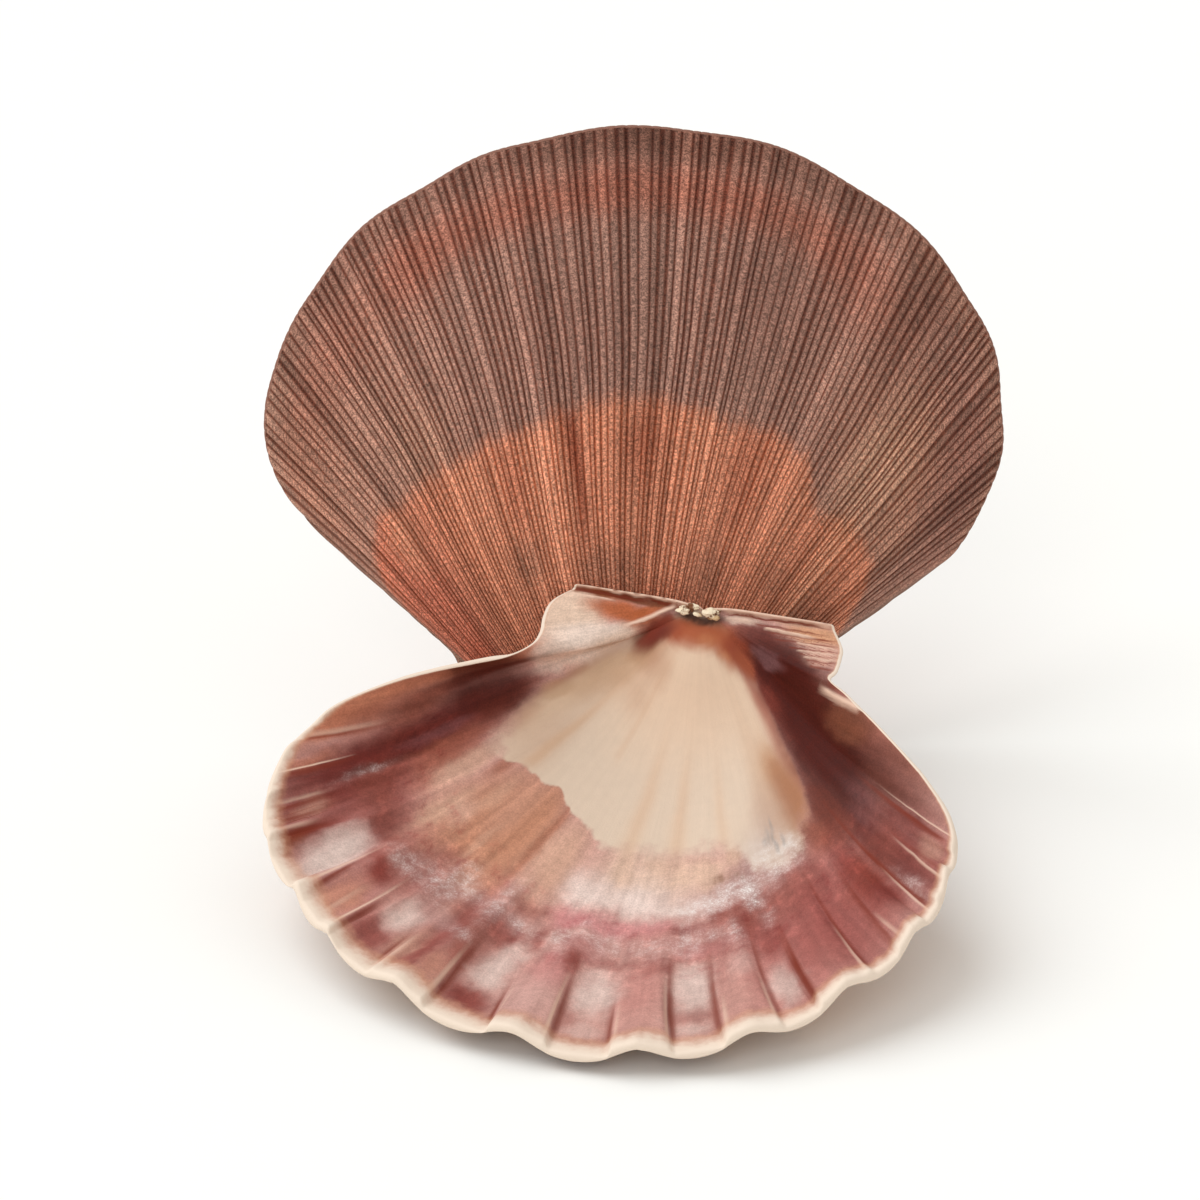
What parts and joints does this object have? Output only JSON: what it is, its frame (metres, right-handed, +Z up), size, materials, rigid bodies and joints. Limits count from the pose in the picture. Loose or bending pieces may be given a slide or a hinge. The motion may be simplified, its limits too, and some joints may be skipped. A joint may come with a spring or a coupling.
{
  "type": "scallop shell",
  "caption": "Scallop shell as two separate fan-shaped valves: one lies hollow side up, the other stands on its hinge edge and leans back behind it, ribbed outside to the front.",
  "frame": {"origin": "middle of the bounding box on the floor", "axes": "+Z up; the lying valve's far margin points towards -Y, the standing valve is on the +Y side, +X is to the right seen from the front"},
  "size_m": [0.1266, 0.1432, 0.1031],
  "materials": {
    "inner_shell": "smooth satin shell: cream fan, mauve and red-brown zones, pale rim",
    "outer_shell": "matt shell with fine sharp radial riblets, mauve-brown with orange bands",
    "dried_ligament": "dry flaky cream-brown horn"
  },
  "bodies": {
    "root": {"lying_valve": "inner_shell", "standing_valve": "outer_shell", "ligament": "dried_ligament"}
  },
  "joints": []
}
